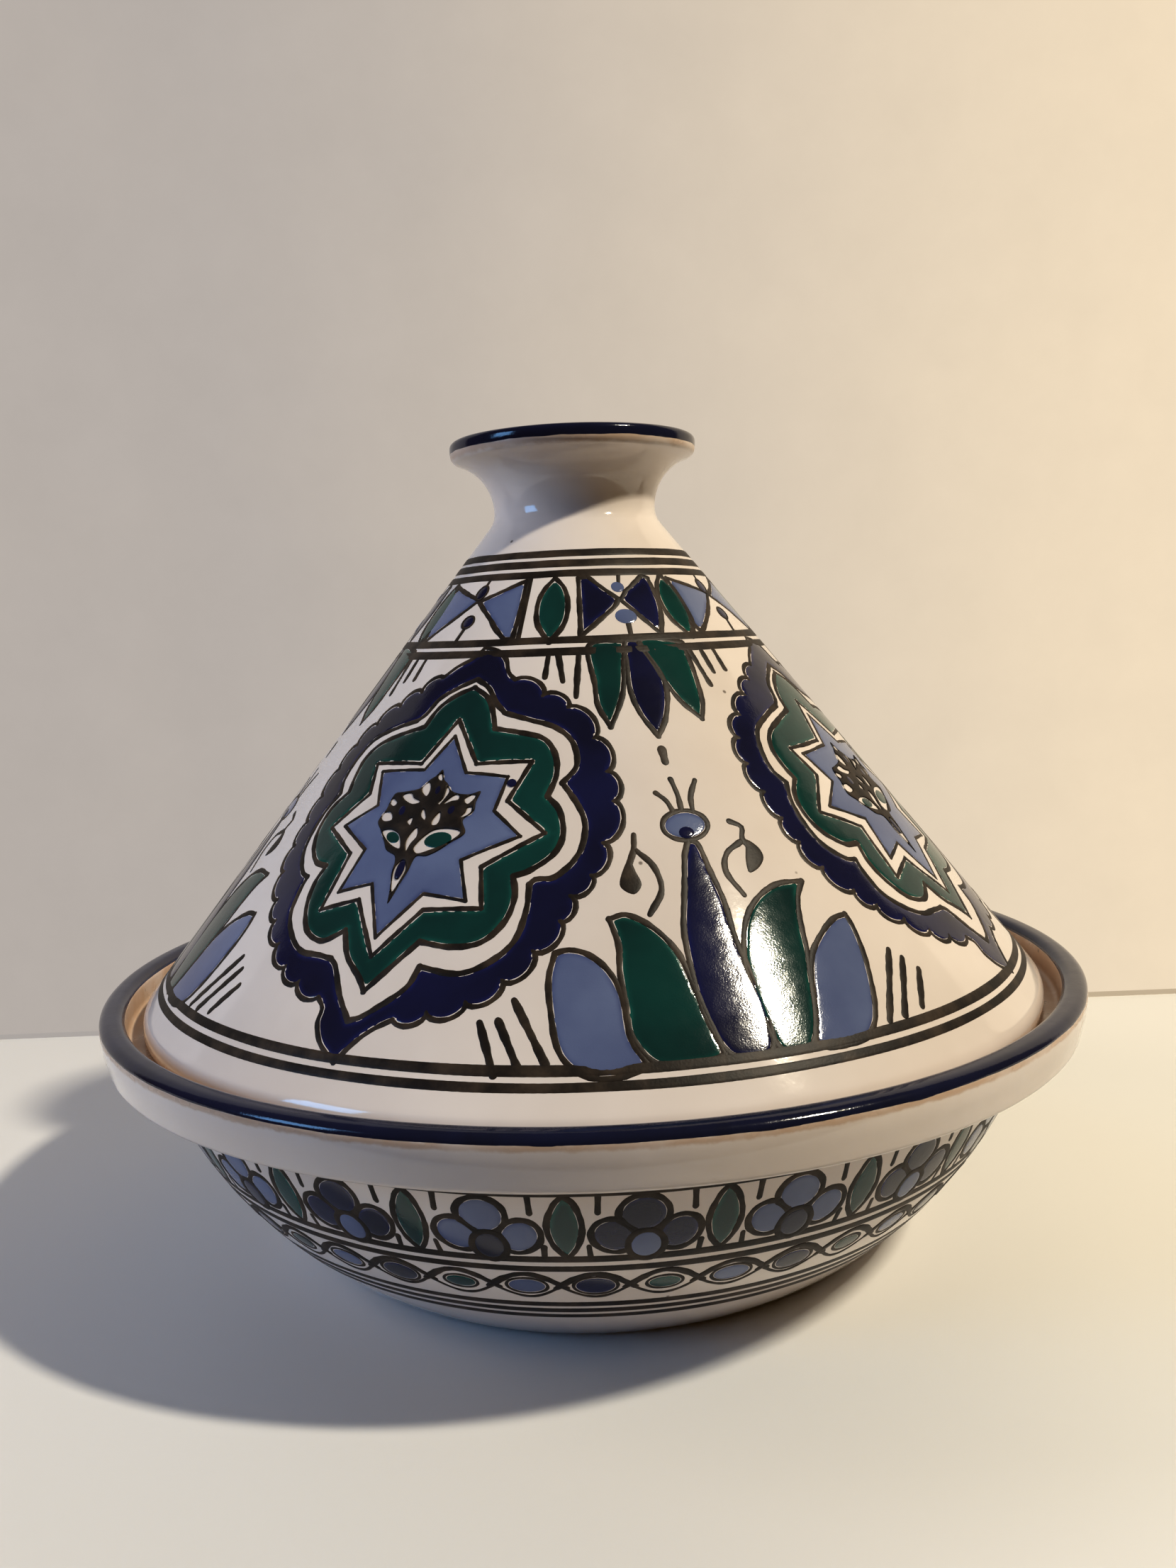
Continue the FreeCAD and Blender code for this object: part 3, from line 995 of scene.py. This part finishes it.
plant = {
    "firstAngle": 15.5,
    "leaves": [
        ("green",
         [(-12.4, 67), (-13.7, 53.5), (-14.3, 46.8), (-12.4, 39.5)],
         [(-9.5, 44.3), (-6.6, 50.6), (-3.6, 63), (-2.6, 67)]),
        ("cobalt",
         [(-2.4, 67), (-3.7, 59.3), (-4.7, 51), (-3.7, 42.7), (-0.5, 35.2)],
         [(3, 41), (5.5, 50.2), (4.7, 58.5), (1.4, 67)]),
        ("green", [(1.6, 67), (5.5, 53.5), (8.8, 46), (13.4, 40.6)], [(15.1, 46), (15.5, 56), (14.6, 67)]),
        ("green",
         [(-20.3, -14), (-14.5, -18.6), (-10.3, -25.7), (-8.7, -34), (-5.6, -51.5)],
         [(-8.7, -52.6), (-17, -52.4), (-22, -50.7), (-25.6, -44), (-25.3, -36.5), (-24.9, -28),
          (-23.7, -21.5), (-24.5, -14.4)]),
        ("green",
         [(25.1, -13.2), (23.4, -19.8), (22.6, -28.2), (21.3, -34.8), (20, -42.3), (18, -49), (15.5, -52.8)],
         [(8.8, -52.7), (6.3, -46.5), (5.1, -32), (6, -26.5), (8.8, -19), (13.8, -13.2), (20.5, -9.7),
          (27.6, -9)]),
        ("sky",
         [(-35.3, -20.2), (-31.2, -22.3), (-27.4, -27.3), (-25.6, -34), (-25.9, -44), (-23.3, -51.5)],
         [(-31.2, -52.7), (-37.8, -50.7), (-42.2, -44.8), (-42.4, -34), (-41.2, -25.7), (-38.7, -20.3)]),
        ("sky",
         [(38.8, -22.3), (39, -29.8), (38, -38.2), (35.9, -45.7), (33, -49.8), (28.8, -52),
          (21.3, -52.8), (17, -52)],
         [(20, -42), (21.3, -35.7), (23.8, -29), (28.8, -23.2), (33.8, -19.4), (37.6, -18.2)]),
        ("cobalt",
         [(-2.4, -0.7), (-4.5, -9), (-7.4, -19.8), (-8.3, -32.3), (-7.8, -42.3), (-4.5, -51.5), (0, -53.3)],
         [(4, -53.3), (6.5, -51), (7.6, -42), (6.2, -33), (4.7, -24), (4.4, -13), (3, -4.8), (1.8, 2.7),
          (-0.3, 3.9)]),
    ],
    "drops": [
        [(-16.2, 0.8), (-18.9, -2.6), (-20.2, -6.6), (-17.2, -9.3), (-14.6, -7), (-15.2, -3)],
        [(15.1, 3.4), (18.2, 1), (18.9, -2.2), (16.4, -5.4), (13.2, -6.6), (13.2, -3), (14.2, 0.6)],
    ],
    "strokes": [
        (1.5, [(-15.8, 64.8), (-19.3, 51)], [(-21.3, 65.6), (-21.8, 56.8)]),
        (1.4, [(-24, 66), (-26.2, 59.3)]),
        (1.5, [(15.9, 65.2), (19.5, 52.7)], [(20.1, 65.2), (22, 57.7)]),
        (1.4, [(24.7, 66), (26.5, 59.3)]),
        (2.0, [(-0.6, 31), (-0.6, 27.4)]),
        (1.3, [(-2.2, 12.4), (-3.2, 15.6), (-5.3, 18.1)],
         [(0.1, 12.6), (0.2, 17), (-0.5, 21.8)], [(3, 12), (3.6, 16.4), (5.9, 21)]),
        (1.4, [(-13.7, 6.8), (-14.6, 2.9), (-16.4, -0.6)],
         [(-14, 2.5), (-10.8, -2.3), (-10.3, -9), (-14.5, -14.8)],
         [(12.2, 8.5), (15.1, 6.8), (14.3, 3.5), (15.3, 1.2)],
         [(13.6, 2.5), (8.8, -0.7), (7.2, -5.7), (10.1, -12.3)]),
        (1.7, [(-58.8, -33), (-57.8, -45.7)],
         [(-54.5, -33.6), (-52.2, -45.3)], [(-50, -29.8), (-45.8, -46.5)], [(47.6, -28.2), (39.7, -47)],
         [(51.3, -30.3), (45, -45.7)], [(55.7, -33.2), (51.8, -43.2)]),
    ],
    "boldness": 1.35,
}


def drawPlant():
    p = Pattern()
    for enamel, *runs in plant["leaves"]:
        p.shape(enamel, cornered(runs))
    p.spot("sky", (0, 8.1), 6.0, 4.3, 0.05)
    p.spot("cobalt", (-0.2, 5.9), 2.0, 1.7, width=0, under=0.22)
    for drop in plant["drops"]:
        p["outlines"].pool(smoothRun(drop, 0.8, True), depth=0.14, margin=0)
    for width, *lines in plant["strokes"]:
        for points in lines:
            p["outlines"].stroke(smoothRun(points), width * plant["boldness"])
    return p


bowTies = {
    "middle": 190.0,
    "radius": 47.4,
    "lightFirst": -39.5,
    "cobaltFirst": 14.5,
    "step": 87.45,
    "almondFirst": -8.8,
    "almondStep": 44.0,
}


def bandRun(*places):
    # places in the upper band, given as (angle, height), on the flat
    slant = math.cos(lidForm["lean"])
    return [(math.radians(angle) * bowTies["radius"], (height - bowTies["middle"]) / slant)
            for angle, height in places]


def bandShape(*runs):
    return cornered([bandRun(*run) for run in runs])


def drawLightBow():
    p = Pattern()
    p.shape("sky", bandShape([(-19.5, 197.8)], [(0.4, 193.3)], [(-18, 181.8)], [(-19.5, 184)]))
    p.shape("sky", bandShape([(19.1, 198.2)], [(19.6, 190), (19.3, 181.8)], [(16.6, 182)],
                             [(12, 185.3), (9.5, 187.4), (0.8, 192.8)]))
    upper, lower = bandRun((-0.1, 195.3), (0.2, 187.1))
    p.spot("cobalt", upper, 2.1, 2.6, -0.3, width=0.8, under=0.1)
    p.spot("cobalt", lower, 2.0, 2.2, width=0.8, under=0.1)
    p["outlines"].stroke(bandRun((0.4, 197.2), (1.2, 199.4)), 1.6)
    p["outlines"].stroke(bandRun((0, 185.4), (-1.2, 181.4)), 1.5)
    for side in (-21.2, 20.8):
        p["outlines"].stroke(bandRun((side, 198.8), (side + 0.4, 181.6)), 1.4)
    return p


def drawCobaltBow():
    p = Pattern()
    p.shape("cobalt", bandShape([(-14.1, 198.3)], [(-10.3, 198.5)], [(-0.3, 192)],
                                [(-2, 190), (-7.4, 186.6), (-14.1, 182)]))
    p.shape("cobalt", bandShape([(12.2, 198.5)], [(14.7, 197.8)], [(14.3, 190), (10.5, 181.8)],
                                [(4.7, 187.8), (0.5, 191.6)], [(3, 194)]))
    upper, lower = bandRun((0.6, 195.3), (0.8, 187))
    p.spot("sky", upper, 2.1, 1.9, width=0, under=0.12)
    p.spot("sky", lower, 3.0, 2.6, width=0, under=0.12)
    p["outlines"].stroke(bandRun((1.4, 196.6), (2.4, 199.2)), 1.6)
    p["outlines"].stroke(bandRun((0.9, 184.9), (0.7, 181.4)), 1.6)
    return p


def drawAlmond():
    p = Pattern()
    p.shape("green", bandShape([(-3.6, 195.4), (-5.3, 191.5), (-4.4, 186), (0, 180.6)],
                               [(4.2, 185.6), (5.3, 191), (3.8, 195.6), (0, 198.6)]))
    return p


lidRings = [(82.7, 84.7), (85.6, 87.8), (176.9, 179.2), (180.0, 182.2), (198.6, 200.8), (201.5, 203.9),
            (204.5, 206.8)]
dishRings = [(14.4, 16.5), (17.4, 19.5), (20.4, 22.6), (34.9, 37.2), (38.3, 40.6), (58.7, 59.9)]


def ringSpans(path, rings):
    return [(lengthAt(path, low), lengthAt(path, high)) for low, high in rings]


def rolledBand(path, band, drift):
    # how a pattern lies on the wall that is rolled straight on about the middle of its band
    return {"Along": lengthAt(path, band["middle"]) * mm, "Roll Radius": band["radius"] * mm, "To Apex": 1.0,
            "Slope Share": 1.0, "Drift": drift * mm, "Developed": False}


def paintLid(path, wall):
    lean = lidForm["lean"]
    cone = {
        "Along": lengthAt(path, medallion["middle"]) * mm,
        "Developed": True,
        "Slope Share": math.sin(lean),
        "To Apex": (lidForm["apex"] - medallion["middle"]) / math.cos(lean) * mm,
        "Roll Radius": 1.0,
        "Drift": 0.9 * mm,
    }
    drawMedallion().rollOnto("lid_medallions", wall, cone, 4, medallion["firstAngle"], 90, 2.0)
    drawPlant().rollOnto("lid_plants", wall, cone, 4, plant["firstAngle"], 90, 11.0)
    band = rolledBand(path, bowTies, 0.4)
    step = bowTies["step"]
    drawLightBow().rollOnto("lid_light_bows", wall, band, 4, bowTies["lightFirst"], -step, 3.0)
    drawCobaltBow().rollOnto("lid_cobalt_bows", wall, band, 4, bowTies["cobaltFirst"], step, 4.0)
    drawAlmond().rollOnto("lid_almonds", wall, band, 8, bowTies["almondFirst"], bowTies["almondStep"], 5.0)
    ringLine("lid_ring_lines", wall, ringSpans(path, lidRings), "outlines")
    lip = lengthNear(path, (lidForm["knobRadius"], lidForm["knobTop"]))
    ringLine("lid_knob_band", wall, [(lip - 3.2, lip + 5.5)], "rims",
             **{"From Wander": 1.6 * mm, "Rows": 16, "Ripple": 3.6, "Lift": 0.14 * mm})


flowerBand = {"middle": 48.0, "radius": 129.0, "count": 22, "first": 4.4}
chainBand = {"middle": 29.5, "radius": 118.5, "count": 45, "first": -1.0}
chainDots = {"cobalt": (5.3, 4.2), "green": (4.4, 3.1), "sky": (5.1, 3.7)}


def flowerRun(path, *places):
    # places in the flower band, given as (angle, height), on the flat
    middle = lengthAt(path, flowerBand["middle"])
    return [(math.radians(angle) * flowerBand["radius"], lengthAt(path, height) - middle)
            for angle, height in places]


def drawFlower(main, lower, path):
    p = Pattern()
    middles = flowerRun(path, (-3.2, 46.8), (3.5, 46.8), (-0.2, 53.1), (0.1, 43.6))
    petals = [(5.2, 6.0, 0.5), (5.0, 6.0, -0.35), (5.8, 5.9, 0)]
    for middle, petal in zip(middles, petals):
        p.spot(main, middle, *petal, width=2.0)
    p.spot(lower, middles[-1], 4.4, 5.2, width=2.0, under=0.05)
    return p


def drawLeaf(path):
    p = Pattern()
    left = flowerRun(path, (-0.9, 56.5), (-1.75, 50), (-1.3, 44), (0, 39.8))
    right = flowerRun(path, (1.2, 44), (1.75, 50), (1, 56.5), (0, 59))
    p.shape("green", cornered([left, right]), width=1.8)
    for side in (-1, 1):
        p["outlines"].stroke(flowerRun(path, (side * 3.4, 59.4), (side * 3.3, 54)), 1.9)
        p["outlines"].stroke(flowerRun(path, (side * 2.4, 40), (side * 2.3, 43.6)), 1.8)
    return p


def drawChainDot(enamel):
    p = Pattern()
    p.spot(enamel, (0, 0), *chainDots[enamel], width=1.1)
    return p


def drawChainCell():
    # two strands that cross between the dots
    p = Pattern()
    wide = math.radians(360 / chainBand["count"] / 2) * chainBand["radius"]
    tall = 5.6
    for way in (-1, 1):
        arch = [(wide * k / 8, way * tall * math.cos(math.pi * k / 16) ** 0.9) for k in range(-7, 8)]
        ends = [(side * wide * 1.12, -way * 0.9) for side in (-1, 1)]
        p["outlines"].stroke(smoothRun([ends[0], *arch, ends[1]]), 1.8 + 0.5 * way, lift=0.13 + 0.02 * way)
    return p


def paintDish(path, wall):
    first, pitch = flowerBand["first"], 360 / flowerBand["count"]
    band = rolledBand(path, flowerBand, 0.7)
    for i, (main, lower) in enumerate((("cobalt", "sky"), ("sky", "cobalt"))):
        flower = drawFlower(main, lower, path)
        flower.rollOnto("dish_" + main + "_flowers", wall, band, 11, first + pitch * i, pitch * 2, 21.0 + i)
    drawLeaf(path).rollOnto("dish_leaves", wall, band, 22, first + pitch / 2, pitch, 31.0)
    first, cell = chainBand["first"], 360 / chainBand["count"]
    band = rolledBand(path, chainBand, 0.5)
    for i, enamel in enumerate(chainDots):
        dots = "dish_chain_" + enamel + "_dots"
        drawChainDot(enamel).rollOnto(dots, wall, band, 15, first + cell * i, cell * 3, 41.0 + i)
    drawChainCell().rollOnto("dish_chain", wall, band, 45, first, cell, 51.0)
    ringLine("dish_ring_lines", wall, ringSpans(path, dishRings), "outlines")
    rim = lengthNear(path, (dishForm["rimRadius"] - 1, dishForm["rimHeight"] - 1))
    ringLine("dish_rim_band", wall, [(rim - 1.6, rim + 8.2)], "rims",
             **{"From Wander": 1.6 * mm, "Rows": 18, "Around": 480, "Ripple": 6.0, "Lift": 0.14 * mm})


makeCamera()
print("camera ready")
potTree, lineTree, patternTree = turnedTree(), bandTree(), rollTree()
rimIn = dishForm["rimRadius"] - dishForm["collarWall"]
footIn = dishForm["footRadius"] - dishForm["footWidth"]
seatHeight, rimHeight = dishForm["seatHeight"], dishForm["rimHeight"]
farOut = 200     # beyond either pot
bareOnDish = [
    (rimIn - 14, rimIn + 1.5, seatHeight - 2, rimHeight - 1.2, 0.9),
    (dishForm["rimRadius"] - 0.9, farOut, rimHeight - 3.6, rimHeight - 2.0, 0.8),
    (footIn - 2, dishForm["footRadius"] - 0.3, -9, 0.5, 1.0),
    (0, footIn, -9, dishForm["footRecess"] + 1, 0.95),
]
bareOnLid = [
    (lidForm["baseRadius"] - lidForm["edgeWidth"] - 1, farOut, 0, lidForm["baseHeight"] + 3.4, 0.75),
    (lidForm["knobRadius"] - 1.6, farOut, lidForm["knobTop"] - 5.2, lidForm["knobTop"] - 2.6, 0.7),
]
dishGlaze = makeGlaze("whiteGlazeDish", bareOnDish)
lidGlaze = makeGlaze("whiteGlazeLid", bareOnLid)
enamels = {
    "cobalt": makeEnamel("cobaltEnamel", (0.008, 0.009, 0.024), (0.013, 0.016, 0.066), (0.015, 0.020, 0.11)),
    "sky": makeEnamel("skyEnamel", (0.096, 0.122, 0.24), (0.16, 0.20, 0.335), (0.065, 0.085, 0.20)),
    "green": makeEnamel("greenEnamel", (0.006, 0.029, 0.030), (0.008, 0.062, 0.056), (0.014, 0.11, 0.092)),
    "outlines": makeOutlineColour(),
    "rims": makeEnamel("rimEnamel", (0.008, 0.010, 0.024), (0.011, 0.015, 0.048), (0.011, 0.014, 0.042)),
}
uneven = 0.22 * mm
columns = 320    # round each pot


def turnPot(name, outline, material):
    path = outlineCurve(name + "Path", outline)
    mesh = runTree(potTree, path, name, {"Around": columns, "Rows": len(outline), "Uneven": uneven,
                                         "Material": material})
    dropObject(path)
    return link(name, mesh)


dishLine = dishOutline()
lidLine = lidOutline()
dishPot = turnPot("dish_glazed", dishLine, dishGlaze)
lidPot = turnPot("lid_glazed", lidLine, lidGlaze)
for pot, body in ((dishPot, "dish"), (lidPot, "lid")):
    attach(pot, body)
    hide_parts(body)
print("pots turned", len(dishPot.data.polygons), len(lidPot.data.polygons))

# the painted walls: from the lid's base up to inside its knob, and from the foot to the dish's ledge
lidWall = outerPart(lidLine, (lidForm["baseRadius"], lidForm["baseHeight"]), (lidForm["neckRadius"] - 2, 232))
dishWall = outerPart(dishLine, (dishForm["footRadius"], 0), (rimIn, seatHeight))
for wallLine, paintPot, body in ((lidWall, paintLid, "lid"), (dishWall, paintDish, "dish")):
    wall = outlineCurve(body + "Wall", wallLine)
    paintPot(wallLine, wall)
    dropObject(wall)
print("painting done")

studio = {
    # the table's two ends: painted shade on the left, painted light on the right
    "tableLeft": colour(0.66, 0.655, 0.655),
    "tableRight": colour(0.81, 0.795, 0.76),
    "tableBack": 0.19,
    "tableFront": -0.215,
    "tableEnd": 2.5,
    "tableThick": 0.04,
    "wallAway": 2.6,
    "wallLeft": colour(0.51, 0.47, 0.44),
    "wallRight": colour(0.89, 0.755, 0.572),
    # gap: the height of the painted shadow line along the table's back edge; its glow is graded from left to
    # right
    "gap": 0.0022,
    "gapLeft": colour(0.44, 0.41, 0.39),
    "gapRight": colour(0.56, 0.46, 0.33),
}


def slab(name, low, high, material):
    xs, ys, zs = zip(low, high)
    verts = [(xs[i], ys[j], z) for z in zs for i, j in ((0, 0), (1, 0), (1, 1), (0, 1))]
    faces = [(3, 2, 1, 0), (4, 5, 6, 7), (0, 1, 5, 4), (1, 2, 6, 5), (2, 3, 7, 6), (3, 0, 4, 7)]
    made = link(name, asMesh(name, verts, faces, 1.0))
    made.data.materials.append(material)
    return made


def makeStudio():
    end, thick, back, away = studio["tableEnd"], studio["tableThick"], studio["tableBack"], studio["wallAway"]
    # the table's colour is graded from left to right: painted shade on the left, painted light on the right
    s = Shader("tablePaint")
    side = s.ramp(s.parts(s.place)[0], -0.02, 0.22)
    tablePaint = s.finish({
        "Base Color": s.mix(side, studio["tableLeft"], studio["tableRight"]),
        "Roughness": 0.5,
        "Specular IOR Level": 0.25,
    })
    table = slab("studio_table", (-end, studio["tableFront"], -thick), (end, back, 0), tablePaint)
    # the wall far behind is softly lit from the right; its glow stands in for that light
    s = Shader("wallPaint")
    glow = s.calc("SUBTRACT", s.ramp(s.parts(s.place)[0], -0.95, 1.75), 0.06)
    share = s.calc("MULTIPLY_ADD", s.noise(1.5, 2), 0.12, glow)
    wallPaint = s.finish({
        "Base Color": colour(0.05, 0.045, 0.04),
        "Emission Color": s.mix(share, studio["wallLeft"], studio["wallRight"]),
        "Emission Strength": s.calc("MULTIPLY_ADD", s.noise(5, 6, 0.65), 0.10, 0.95),
        "Roughness": 0.9,
    })
    wall = slab("studio_wall", (-6, away, -3), (6, away + 0.05, 5), wallPaint)
    # a painted shadow line: a thin dark strip that glows, where the table stops short of the wall
    s = Shader("gapPaint")
    side = s.ramp(s.parts(s.place)[0], -0.15, 0.15)
    gapPaint = s.finish({
        "Base Color": colour(0.03, 0.025, 0.02),
        "Emission Color": s.mix(side, studio["gapLeft"], studio["gapRight"]),
        "Emission Strength": 1.0,
        "Roughness": 0.9,
    })
    gap = slab("studio_gap", (-end, back, -thick), (end, back + 0.001, studio["gap"]), gapPaint)


keyAim = Vector((0.043, -0.107, 0.1))
keyWay = Vector((0.56, -0.29, 0.776)).normalized()
# name: place, aim, size, watts, colour, and whether it shows as a mirror image
lamps = {
    "key": (keyAim + keyWay * 3.0, keyAim, (0.13, 0.20), 99, (1.0, 0.92, 0.745), True),
    "window": ((-1.9, -0.85, 0.85), (0, 0, 0.12), (0.7, 0.8), 16.5, (0.26, 0.55, 1.0), True),
    "lamp by the wall": ((-1.6, 0.05, 0.9), (0, 0, 0.05), (0.5, 0.9), 10.5, (0.92, 0.81, 0.72), False),
    "ceiling": ((-1.5, 0.6, 2.2), (0, 0, 0.05), (1.6, 1.6), 5.5, (0.29, 0.60, 1.0), False),
}


def areaLight(name, spot, aim, size, power, tint, glossy):
    data = bpy.data.lights.new(name, "AREA")
    data.shape = "RECTANGLE"
    data.size, data.size_y = size
    data.energy = power
    data.color = tint
    lamp = link(name, data)
    lamp.location = spot
    lamp.rotation_mode = "QUATERNION"
    lamp.rotation_quaternion = (Vector(spot) - Vector(aim)).to_track_quat("Z", "Y")
    lamp.visible_glossy = glossy


makeStudio()
for name, settings in lamps.items():
    areaLight(name, *settings)
world = bpy.data.worlds.new("room")
bpy.context.scene.world = world
world.use_nodes = True
sky = world.node_tree.nodes["Background"]
sky.inputs["Color"].default_value = colour(1.0, 0.54, 0.10)
sky.inputs["Strength"].default_value = 0.08
bpy.context.scene.view_settings.view_transform = "Standard"
bpy.context.scene.view_settings.gamma = 0.82
print("studio ready")
